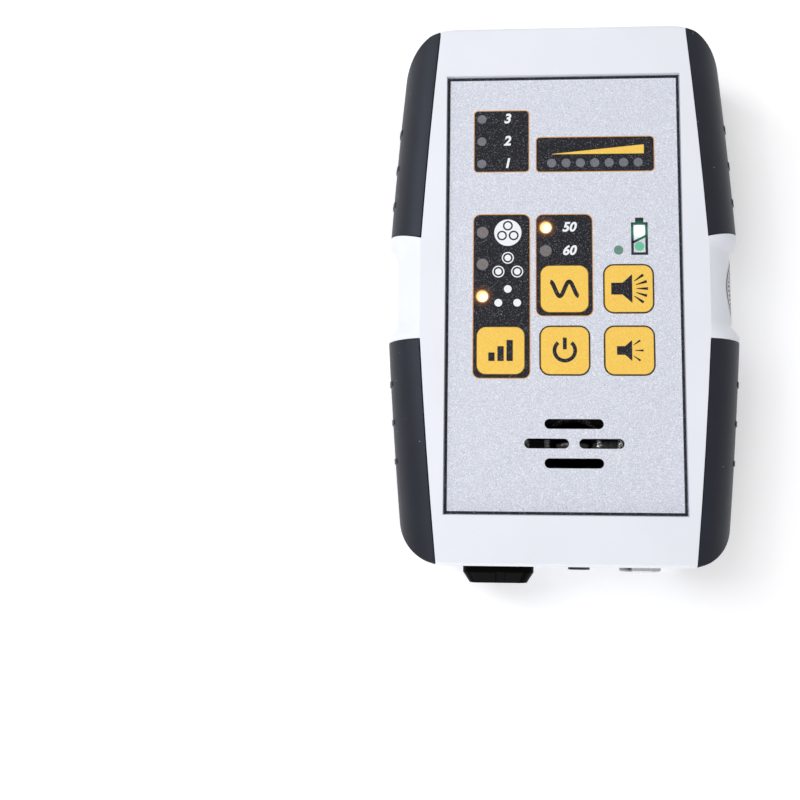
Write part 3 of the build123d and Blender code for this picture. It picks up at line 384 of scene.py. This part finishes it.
# Seal: a round paper label over the joint of the shells at the right waist, with two plain printed
# rings and a ring of dashes between them.
seal_middle, seal_half = middle_and_half("seal_label")
paper, seal_ink = tone(224, 225, 229), tone(40, 42, 52)
seal_dash = np.pi / 40
dash_gap = 0.4 * seal_dash
fibre_size = 0.2 * MM
finish, tree, shader, place = new_finish("seal_paper")
flat, radius = from_axis(tree, place, seal_middle, (0, 1, 1))
radius = spread(tree, radius, 0, 1, 0, seal_half.y)
rings = ramp(
    tree, radius,
    (0.0, paper), (0.62, paper), (0.63, seal_ink), (0.65, seal_ink), (0.66, paper),
    (0.91, paper), (0.915, seal_ink), (0.965, seal_ink), (0.97, paper),
)
band = ramp(
    tree, radius,
    (0.0, even(0)), (0.74, even(0)), (0.745, even(1)), (0.84, even(1)), (0.845, even(0)),
)
parts = add_node(tree, "SeparateXYZ", {"Vector": flat}).outputs
bearing = reckon(tree, "ARCTAN2", parts["Z"], parts["Y"])
inked = reckon(tree, "GREATER_THAN", reckon(tree, "PINGPONG", bearing, seal_dash), dash_gap)
dashes = reckon(tree, "MULTIPLY", inked, band)
tree.links.new(laid_over(tree, dashes, rings, seal_ink), shader.inputs["Base Color"])
fibres = noise(tree, place, fibre_size, 5.0)
tree.links.new(spread(tree, fibres, 0.5, 0.75), shader.inputs["Roughness"])
round_and_grain(tree, shader, fibres, depth=0.01 * MM, edge=0.05 * MM)
dress(finish, "seal_label")

# Keypad overlay: polyester film with a pebbled face, printed silver from behind. It is glued into its
# bed in the front shell.
overlay_low, overlay_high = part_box("membrane_overlay")
film_top = overlay_high.z
# The white pebbles of the silver print are painted glints of its flakes, fixed in its colour.
silver_dark, silver, silver_glint = tone(188, 192, 206), tone(221, 225, 238), tone(255, 255, 255)
pebble = 0.14 * MM
pebble_depth = 0.006 * MM
film_edge = 0.05 * MM


def pebbled_film(name, stops, glows=()):
    """Printed film with a pebbled face: each pebble takes its colour from the stops by its own share.
    Each glow is a lit lamp's place, its reach and its light."""
    finish, tree, shader, place = new_finish(name)
    pebbles = add_node(tree, "TexVoronoi", {"Vector": place, "Scale": 1 / pebble}).outputs
    share = add_node(tree, "SeparateColor", {"Color": pebbles["Color"]}).outputs["Red"]
    height = pebbles["Distance"]
    tree.links.new(ramp(tree, share, *stops), shader.inputs["Base Color"])
    tree.links.new(spread(tree, height, 0.45, 0.6, 0, 0.7), shader.inputs["Roughness"])
    shader.inputs["Specular IOR Level"].default_value = 0.2
    round_and_grain(tree, shader, height, pebble_depth, film_edge)
    add_light(tree, shader, place, glows)
    return finish


def add_light(tree, shader, place, lights):
    """Light that shines through the film: for each place, colours by the distance from it."""
    total = None
    for centre, reach, stops in lights:
        apart = add_node(tree, "VectorMath", {0: place, 1: centre}, operation="DISTANCE").outputs["Value"]
        shine = ramp(tree, spread(tree, apart, 0, 1, 0, reach), *stops)
        if total is not None:
            shine = add_node(tree, "VectorMath", {0: total, 1: shine}, operation="ADD").outputs["Vector"]
        total = shine
    if total is not None:
        tree.links.new(total, shader.inputs["Emission Color"])
        shader.inputs["Emission Strength"].default_value = 1.0


silver_film = pebbled_film(
    "overlay_silver", ((0.0, silver_dark), (0.42, silver), (0.83, silver), (0.92, silver_glint))
)
dress(silver_film, "membrane_overlay")

# Windows: clear spots left in the print over the lamps, with a diffusing coat behind. Two amber lamps
# and two green ones are lit.
small_radius = middle_and_half("gain_windows")[1].x
large_radius = middle_and_half("mode_windows")[1].x
battery_pitch = 4.02 * MM
mottle_size = 0.35 * MM
amber_core, amber_rim = (1.15, 1.08, 0.92, 1.0), (1.0, 0.64, 0.07, 1.0)
green_core, green_rim = (1.3, 1.5, 1.4, 1.0), (1.0, 1.2, 1.15, 1.0)
dim_green = (0.0, 0.26, 0.11, 1.0)
lamp_reach = 2.5 * MM
core_offset = np.array([0.36, -0.36]) * MM
grey_off = (tone(92, 95, 104), tone(120, 123, 132))
brown_off = (tone(98, 92, 94), tone(126, 119, 119))
green_off = (tone(92, 132, 116), tone(108, 150, 132))


def window_row(node, radius, count):
    """Centres of a row or column of windows, spread evenly between its two ends."""
    low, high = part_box(node)
    first = np.array([low.x + radius, high.y - radius])
    last = np.array([high.x - radius, low.y + radius])
    return first + np.linspace(0, 1, count)[:, None] * (last - first)


def lit(spot, core, rim):
    """A lit lamp at a spot: its core, a little aside, its coloured rim, and nothing beyond its window."""
    stops = ((0.0, core), (0.24, core), (0.7, rim), (0.98, rim), (1.0, even(0)))
    return (*(spot + core_offset), film_top), lamp_reach, stops


def lamp_windows(name, off_tones, *lights):
    """Windows over lamps: a mottled diffusing coat, lit up over the lamps that are on."""
    finish, tree, shader, place = new_finish(name)
    mottle = noise(tree, place, mottle_size, 5.0)
    colour = ramp(tree, mottle, *zip((noise_low, noise_high), off_tones))
    tree.links.new(colour, shader.inputs["Base Color"])
    tree.links.new(spread(tree, mottle, 0.3, 0.45), shader.inputs["Roughness"])
    round_and_grain(tree, shader, mottle, depth=0.005 * MM, edge=0.03 * MM)
    add_light(tree, shader, place, lights)
    return finish


gain_spots = window_row("gain_windows", small_radius, 3)
level_spots = window_row("level_windows", small_radius, 7)
mode_spots = window_row("mode_windows", large_radius, 3)
frequency_spots = window_row("frequency_windows", large_radius, 2)
_, battery_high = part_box("battery_windows")
battery_upper = np.array([battery_high.x - small_radius, battery_high.y - small_radius])
battery_lower = battery_upper - [0, battery_pitch]
mode_lit, frequency_lit = mode_spots[2], frequency_spots[0]
dress(lamp_windows("window_grey", grey_off), "gain_windows", "level_windows")
dress(lamp_windows("window_mode", brown_off, lit(mode_lit, amber_core, amber_rim)), "mode_windows")
frequency_coat = lamp_windows("window_frequency", brown_off, lit(frequency_lit, amber_core, amber_rim))
dress(frequency_coat, "frequency_windows")
battery_coat = lamp_windows(
    "window_battery", green_off,
    lit(battery_upper, green_core, green_rim), lit(battery_lower, dim_green, dim_green),
)
dress(battery_coat, "battery_windows")

# Printed border and panels: black and orange inks, screened on the film in layers a few hundredths of
# a millimetre thick. The lit lamps shine a little way into the ink round them.
ink = 0.02 * MM
border_width = 0.7
orange_width = 0.2
opening, opening_corner = 12.3, 2.45
# The pale grey pebbles at the top of the black print are painted glints of its pebbled face.
print_black = (
    (0.0, tone(15, 15, 21)), (0.82, tone(24, 24, 31)), (0.93, tone(58, 60, 69)), (1.0, tone(134, 137, 148)),
)
print_orange = ((0.0, tone(216, 150, 74)), (0.9, tone(226, 162, 84)), (1.0, tone(246, 196, 122)))
amber_bleed = (
    (0.0, even(0)), (0.5, (0.5, 0.19, 0.02, 1.0)), (0.6, (0.07, 0.02, 0.003, 1.0)), (1.0, even(0)),
)
amber_reach = 3.2 * MM


def spot(right, down):
    """A place on the overlay, in millimetres right of its left edge and down from its upper edge."""
    return np.array([overlay_low.x / MM + right, overlay_high.y / MM - down])


def rounded(centre, width, height, corner, steps=9):
    """Outline of a rounded rectangle: a quarter circle about the centre of each corner."""
    turns = np.linspace(0, np.pi / 2, steps) + np.arange(4)[:, None] * np.pi / 2
    signs = np.array([[1, 1], [-1, 1], [-1, -1], [1, -1]])
    middles = signs * (np.array([width, height]) / 2 - corner)
    ring = middles[:, None] + corner * np.stack([np.cos(turns), np.sin(turns)], -1)
    return ring.reshape(-1, 2) + centre


def disc(centre, diameter, steps=48):
    """Outline of a circle."""
    turns = np.arange(steps) * 2 * np.pi / steps
    return np.stack([np.cos(turns), np.sin(turns)], -1) * diameter / 2 + centre


def plate(outer, *holes):
    """A flat film of height 1 inside an outline and outside its holes, all anticlockwise: caps cut into
    triangles below and above, and a wall of quads along each outline."""
    loops = [outer, *[hole[::-1] for hole in holes]]
    flat = np.concatenate(loops)
    total = len(flat)
    cut = np.array(tessellate_polygon([[Vector((*point, 0)) for point in loop] for loop in loops]))
    first, second, third = (flat[cut[:, corner]] for corner in range(3))
    turned = np.cross(second - first, third - first) < 0
    cut[turned] = cut[turned][:, ::-1]
    lengths = [len(loop) for loop in loops]
    here = np.arange(total)
    closing = np.isin(here + 1, np.cumsum(lengths))
    after = here + 1 - closing * np.repeat(lengths, lengths)
    walls = np.stack([here, after, after + total, here + total], -1)
    points = np.column_stack([np.tile(flat, (2, 1)), np.repeat([0.0, 1.0], total)])
    return points, cut[:, ::-1].tolist() + (cut + total).tolist() + walls.tolist()


def add_piece(name, points, faces, finish, body):
    """A new piece from points and faces, with its finish, riding on a body."""
    mesh = bpy.data.meshes.new(name)
    mesh.from_pydata(points.tolist(), [], faces)
    mesh.update()
    piece = bpy.data.objects.new(name, mesh)
    bpy.context.scene.collection.objects.link(piece)
    mesh.materials.append(finish)
    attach(piece, body)


def print_film(name, shapes, finish, layer=0, body="case", base=film_top):
    """A printed film: shapes of ink, joined in one piece, in one of the layers over a base."""
    starts = np.cumsum([0] + [len(points) for points, _ in shapes]).tolist()
    faces = [
        [start + corner for corner in face]
        for start, (_, shape_faces) in zip(starts, shapes) for face in shape_faces
    ]
    points = np.concatenate([points for points, _ in shapes]) * [MM, MM, ink] + [0, 0, base + layer * ink]
    add_piece(name, points, faces, finish, body)


def key_middle(name):
    """Centre of a key in millimetres, and the height of its face."""
    low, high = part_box(f"key_{name}")
    return np.array([low.x + high.x, low.y + high.y]) / 2 / MM, high.z


overlay_middle = np.array([overlay_low.x + overlay_high.x, overlay_low.y + overlay_high.y]) / 2 / MM
overlay_size = np.array([overlay_high.x - overlay_low.x, overlay_high.y - overlay_low.y]) / MM
black_film = pebbled_film("print_black", print_black)
orange_film = pebbled_film("print_orange", print_orange)
border = plate(
    rounded(overlay_middle, *overlay_size, 0.02, 2),
    rounded(overlay_middle, *(overlay_size - 2 * border_width), 0.15, 4),
)
print_film("print_border", [border], black_film)
panel_places = {
    "gain": (6.9, 21.35, 8.96, 25.78, 1.1),
    "level": (23.0, 53.5, 16.32, 25.88, 1.1),
    "mode": (6.85, 21.55, 36.96, 79.86, 1.9),
    "frequency": (22.9, 37.5, 37.06, 63.85, 1.9),
}
panel_lamps = {
    "gain": (gain_spots, small_radius),
    "level": (level_spots, small_radius),
    "mode": (mode_spots, large_radius),
    "frequency": (frequency_spots, large_radius),
}
panel_keys = {"mode": "gain_mode", "frequency": "frequency"}
panel_films = {
    "gain": black_film,
    "level": black_film,
    "mode": pebbled_film("print_mode", print_black, [((*mode_lit, film_top), amber_reach, amber_bleed)]),
    "frequency": pebbled_film(
        "print_frequency", print_black, [((*frequency_lit, film_top), amber_reach, amber_bleed)]
    ),
}
for name, (left, right, top, bottom, corner) in panel_places.items():
    middle = spot((left + right) / 2, (top + bottom) / 2)
    size = np.array([right - left, bottom - top])
    inner = rounded(middle, *(size - 2 * orange_width), corner - orange_width)
    lamp_places, lamp_radius = panel_lamps[name]
    holes = [disc(place / MM, 2 * lamp_radius / MM) for place in lamp_places]
    if name in panel_keys:
        holes.append(rounded(key_middle(panel_keys[name])[0], opening, opening, opening_corner))
    print_film(f"print_{name}_panel", [plate(inner, *holes)], panel_films[name])
    print_film(f"print_{name}_line", [plate(rounded(middle, *size, corner), inner)], orange_film)

# Printed signs: the rising wedge over the level lamps, the cable cores beside the mode lamps, plain
# numbers beside the others, and the battery round its two lamps, all in the same inks.
yellow_stops = ((0.0, tone(248, 196, 78)), (0.6, tone(254, 208, 92)), (0.95, tone(255, 222, 122)))
white_stops = ((0.0, tone(238, 242, 252)), (0.7, tone(248, 250, 255)), (1.0, tone(255, 255, 255)))
white_film = pebbled_film("print_white", white_stops)
yellow_film = pebbled_film("print_yellow", yellow_stops)
wedge = np.array([spot(27.2, 21.05), spot(50.8, 21.05), spot(50.8, 18.63), spot(27.2, 20.95)])
print_film("print_wedge", [plate(wedge)], yellow_film, 1)

bundle_diameter, bundle_gap, bundle_core = 7.0, 2.55, 1.75
sheath_outer, sheath_inner, sheath_core = 3.1, 2.5, 1.65
bare_core = 2.0
trio = np.array([[0, 0], [-2.4, -3.6], [2.4, -3.6]])
bundle_middle = spot(15.8, 41.9)
bundle_cores = bundle_middle + np.array([[0, 1.85], [-1.5, -0.75], [1.5, -0.75]])
split_cores = spot(15.8, 48.55) + trio
bare_cores = spot(15.8, 56.7) + trio
bundle = plate(disc(bundle_middle, bundle_diameter), *[disc(p, bundle_gap, 32) for p in bundle_cores])
sheaths = [plate(disc(p, sheath_outer, 40), disc(p, sheath_inner, 40)) for p in split_cores]
sheathed = [plate(disc(p, sheath_core, 32)) for p in split_cores]
print_film("print_bundle", [bundle], white_film, 1)
print_film("print_bundle_cores", [plate(disc(p, bundle_core, 32)) for p in bundle_cores], white_film, 1)
print_film("print_split_cores", sheaths + sheathed, white_film, 1)
print_film("print_bare_cores", [plate(disc(p, bare_core, 32)) for p in bare_cores], white_film, 1)


def print_number(text, right, lamp, size, slant):
    """A plain number in ink, level with its lamp: the outline of its figures, thickened and slanted,
    laid on the film."""
    name = f"print_number_{text}"
    figure = bpy.data.curves.new(name, "FONT")
    figure.body = text
    figure.size = size
    figure.shear = slant
    figure.offset = 0.13
    figure.align_x = "CENTER"
    figure.align_y = "CENTER"
    figure.extrude = ink / MM / 2
    figure.resolution_u = 4
    carrier = bpy.data.objects.new(name, figure)
    drawn = bpy.data.meshes.new_from_object(carrier)
    points = np.empty(3 * len(drawn.vertices), np.float32)
    drawn.vertices.foreach_get("co", points)
    centre = np.array([spot(right, 0)[0], lamp[1] / MM])
    points = points.reshape(-1, 3) * MM + [*centre * MM, film_top + 1.5 * ink]
    faces = [list(face.vertices) for face in drawn.polygons]
    bpy.data.objects.remove(carrier)
    add_piece(name, points, faces, white_film, "case")


for number, lamp in zip("321", gain_spots):
    print_number(number, right=15.6, lamp=lamp, size=3.5, slant=0.2)
for number, lamp in zip(("50", "60"), frequency_spots):
    print_number(number, right=31.4, lamp=lamp, size=3.4, slant=0.25)

battery_stops = ((0.0, tone(28, 30, 33)), (1.0, tone(50, 54, 58)))
green_bleed = ((0.0, (0.1, 0.5, 0.3, 1.0)), (0.62, (0.0, 0.16, 0.07, 1.0)), (1.0, even(0)))
green_reach = 2.9 * MM
field_stops = ((0.0, silver_dark), (0.5, silver), (1.0, silver_glint))
field_glow = (
    (0.0, even(0.6)), (0.36, (0.5, 0.55, 0.55, 1.0)),
    (0.44, (0.02, 0.09, 0.1, 1.0)), (1.0, (0.0, 0.03, 0.03, 1.0)),
)
field_reach = 4.0 * MM
battery_left, battery_right, battery_top, battery_bottom = 47.2, 51.45, 39.4, 47.95
battery_stroke = 0.66
cap_down, cap_width, cap_height = 38.84, 2.1, 1.36
slash_width = 0.62


def pen_line(path, width):
    """A line of height 1 drawn with a pen of this width: a rectangle carried along the path."""
    along = np.gradient(path, axis=0)
    along /= np.linalg.norm(along, axis=1)[:, None]
    aside = np.column_stack([-along[:, 1], along[:, 0]]) * width / 2
    right, left = path - aside, path + aside
    stations = np.stack([right, left, left, right], 1)
    heights = np.broadcast_to([[0.0], [0.0], [1.0], [1.0]], (len(path), 4, 1))
    points = np.concatenate([stations, heights], -1).reshape(-1, 3)
    near = 4 * np.arange(len(path) - 1)[:, None] + np.arange(4)
    beside = 4 * np.arange(len(path) - 1)[:, None] + (np.arange(4) + 1) % 4
    sides = np.stack([beside, near, near + 4, beside + 4], -1).reshape(-1, 4)
    last = len(points) - 4
    return points, sides.tolist() + [[0, 1, 2, 3], [last + 3, last + 2, last + 1, last]]


battery_film = pebbled_film(
    "print_battery", battery_stops, [((*battery_upper, film_top), green_reach, green_bleed)]
)
battery_size = np.array([battery_right - battery_left, battery_bottom - battery_top])
battery_centre = (battery_left + battery_right) / 2
battery_middle = spot(battery_centre, (battery_top + battery_bottom) / 2)
battery_case = plate(
    rounded(battery_middle, *battery_size, 0.12, 4),
    rounded(battery_middle, *(battery_size - 2 * battery_stroke), 0.08, 4),
)
battery_cap = plate(rounded(spot(battery_centre, cap_down), cap_width, cap_height, 0.1, 4))
battery_slash = pen_line(np.array([spot(47.6, 44.7), spot(49.35, 43.8), spot(51.1, 42.9)]), slash_width)
print_film("print_battery", [battery_case, battery_cap, battery_slash], battery_film)
field_film = pebbled_film(
    "print_battery_glow", field_stops, [((*battery_upper, film_top), field_reach, field_glow)]
)
battery_field = np.array([spot(47.88, 44.2), spot(50.77, 42.72), spot(50.77, 40.08), spot(47.88, 40.08)])
field = plate(battery_field, disc(battery_upper / MM, 2 * small_radius / MM))
print_film("print_battery_glow", [field], field_film)

# Keys: yellow embossed caps that press on their switches. The three free-standing ones have a black
# line round them, and each carries a plain sign in black ink.
key_line = 0.28
wave_half, wave_height, wave_stroke = 3.6, 1.9, 1.05
power_radius, power_stroke = 2.6, 0.95
step_width, step_pitch, step_foot = 1.6, 2.3, -2.7
step_heights = (2.2, 3.8, 5.4)
ray_fan = 0.62
ray_start, ray_end, ray_back = 3.0, 5.6, 1.2
ray_thin, ray_thick = 0.08, 0.34
key_yellow = pebbled_film("key_yellow", yellow_stops)
dress(key_yellow, *[f"key_{name}" for name in key_names])
for name in ("power", "volume_up", "volume_down"):
    middle, _ = key_middle(name)
    outer = opening + 2 * key_line
    line = plate(
        rounded(middle, outer, outer, opening_corner + key_line),
        rounded(middle, opening, opening, opening_corner),
    )
    print_film(f"print_line_{name}", [line], black_film)


def speaker_sign(size, rays):
    """A generic loudspeaker: box and horn in one outline, and rays fanning out before it."""
    horn = np.array([[-4.0, -1.4], [-1.4, -1.4], [0.8, -3.4], [0.8, 3.4], [-1.4, 1.4], [-4.0, 1.4]])
    shapes = [plate(horn * size)]
    for turn in np.linspace(-ray_fan, ray_fan, rays):
        way = np.array([np.cos(turn), np.sin(turn)])
        side = np.array([-way[1], way[0]])
        inner, outer = way * ray_start - [ray_back, 0], way * ray_end - [ray_back, 0]
        ray = np.array([
            inner - ray_thin * side, outer - ray_thick * side,
            outer + ray_thick * side, inner + ray_thin * side,
        ])
        shapes.append(plate(ray * size))
    return shapes


turns = np.linspace(np.radians(130), np.radians(410), 60)
power_arc = np.column_stack([np.cos(turns), np.sin(turns)]) * power_radius
power_bar = np.array([[0, 0.3], [0, 1.5], [0, 3.3]])
wave_x = np.linspace(-wave_half, wave_half, 60)
wave = np.column_stack([wave_x, wave_height * np.sin(wave_x / wave_half * 1.5 * np.pi)])
steps = [
    rounded(np.array([step_pitch * (i - 1), height / 2 + step_foot]), step_width, height, 0.15, 4)
    for i, height in enumerate(step_heights)
]
signs = {
    "frequency": [pen_line(wave, wave_stroke)],
    "power": [pen_line(power_arc, power_stroke), pen_line(power_bar, power_stroke)],
    "gain_mode": [plate(step) for step in steps],
    "volume_up": speaker_sign(1.1, 5),
    "volume_down": speaker_sign(0.79, 3),
}
for name in key_names:
    middle, top = key_middle(name)
    shapes = [(points + [*middle, 0], faces) for points, faces in signs[name]]
    print_film(f"sign_{name}", shapes, black_film, 0, f"{name}_key", top)

# Floor: a plain white sheet of paper under the case, which keeps its shadow. Away from the case it
# fades out to the white behind it.
floor_half = 2.0
floor_drop = 0.0004
paper_cloud = 0.15
near_lift, near_reach, far_reach = 0.3, 0.2, 0.8


def seen_rays(tree):
    """1 for rays from the camera, straight or by way of gloss or glass, and 0 for the rest."""
    path = add_node(tree, "LightPath", {}).outputs
    shown = reckon(tree, "ADD", path["Is Camera Ray"], path["Is Glossy Ray"])
    return reckon(tree, "ADD", shown, path["Is Transmission Ray"], use_clamp=True)


sheet = bpy.data.meshes.new("floor")
corners = np.array([[-1, -1, 0], [1, -1, 0], [1, 1, 0], [-1, 1, 0]]) * floor_half
sheet.from_pydata((corners - [0, 0, floor_drop]).tolist(), [], [[0, 1, 2, 3]])
floor = bpy.data.objects.new("floor", sheet)
bpy.context.scene.collection.objects.link(floor)
finish, tree, shader, place = new_finish("floor_white")
clouds = noise(tree, place, paper_cloud, 2.0)
white = ramp(tree, clouds, (noise_low, tone(243, 243, 245)), (noise_high, tone(246, 246, 248)))
tree.links.new(white, shader.inputs["Base Color"])
shader.inputs["Roughness"].default_value = 0.9
shader.inputs["Specular IOR Level"].default_value = 0.1
apart = add_node(tree, "VectorMath", {0: place}, operation="LENGTH").outputs["Value"]
lift = spread(tree, apart, near_lift, 1.0, near_reach, far_reach)
tree.links.new(reckon(tree, "MULTIPLY", seen_rays(tree), lift), shader.inputs["Emission Strength"])
shader.inputs["Emission Color"].default_value = even(1)
sheet.materials.append(finish)

# Light: an oblong soft box high at the left, a small lamp beside it that makes the glints in the
# speaker, a square box low before the lower end, and pale walls all round.
wall_light = 0.53


def soft_box(name, place, width, height, power):
    """An oblong area lamp at a place, turned to the middle of the case."""
    lamp = bpy.data.lights.new(name, "AREA")
    lamp.shape = "RECTANGLE"
    lamp.size = width
    lamp.size_y = height
    lamp.energy = power
    carrier = bpy.data.objects.new(name, lamp)
    carrier.location = place
    carrier.rotation_euler = (-Vector(place)).to_track_quat("-Z", "Y").to_euler()
    bpy.context.scene.collection.objects.link(carrier)


soft_box("left_box", (-0.53, 0.26, 0.76), width=0.25, height=0.9, power=4.2)
soft_box("glint_box", (-0.51, 0.04, 0.8), width=0.06, height=0.06, power=0.35)
soft_box("lower_box", (-0.15, -0.92, 0.18), width=0.6, height=0.6, power=3.4)
walls = bpy.data.worlds.new("walls")
walls.use_nodes = True
tree = walls.node_tree
backdrop = tree.nodes["Background"]
backdrop.inputs["Color"].default_value = even(1)
tree.links.new(spread(tree, seen_rays(tree), wall_light, 1.0), backdrop.inputs["Strength"])
bpy.context.scene.world = walls

# Camera: held above the face and a little below its middle, as one looks at the unit in the hand. Its
# lens and shift give the frame of the picture.
camera_place = Vector((-13.975, -60.486, 295.655)) * MM
camera_ahead = Vector((-0.0642, 0.14195, -0.98779)).normalized()
camera_right = Vector((0.99794, 0.01062, -0.06334)).normalized()
picture_width = 800
focal_pixels = 1065.0
centre_pixels = (440, 373.8)
camera = bpy.data.cameras.new("camera")
camera.sensor_width = 36.0
camera.lens = focal_pixels / picture_width * camera.sensor_width
camera.shift_x = 0.5 - centre_pixels[0] / picture_width
camera.shift_y = centre_pixels[1] / picture_width - 0.5
camera.clip_start = 0.01
viewer = bpy.data.objects.new("camera", camera)
turn = Matrix((camera_right, camera_right.cross(camera_ahead), -camera_ahead)).transposed().to_4x4()
viewer.matrix_world = Matrix.Translation(camera_place) @ turn
bpy.context.scene.collection.objects.link(viewer)
bpy.context.scene.camera = viewer
bpy.context.scene.view_settings.view_transform = "Standard"
